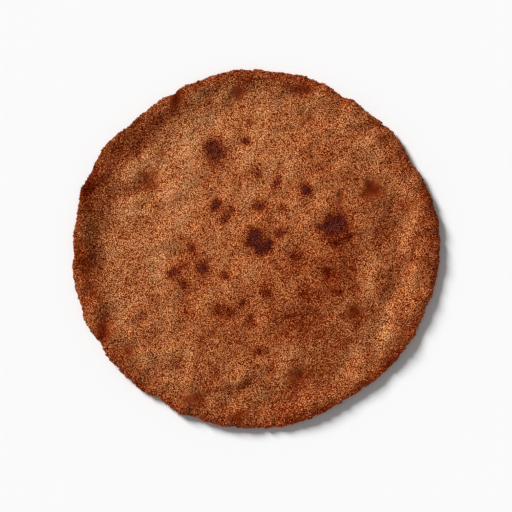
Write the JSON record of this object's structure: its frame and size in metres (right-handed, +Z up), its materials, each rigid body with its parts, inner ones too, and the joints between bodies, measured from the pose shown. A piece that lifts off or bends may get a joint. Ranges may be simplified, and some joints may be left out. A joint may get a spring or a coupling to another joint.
{
  "type": "chapati flatbread",
  "caption": "Round unleavened wholemeal flatbread with a thick raised lip, a soft dented top, dark scorch spots and a crumbly edge.",
  "frame": {"origin": "centre of the bounding box's bottom, on the flat underside that rests on the table", "axes": "+Z up through the bread's thickness, which is its shortest extent; +X to the right and +Y away, seen from above"},
  "size_m": [0.1836, 0.18, 0.0072],
  "materials": {
    "crust": "matte"
  },
  "bodies": {
    "root": {"chapati": "crust"}
  },
  "joints": []
}
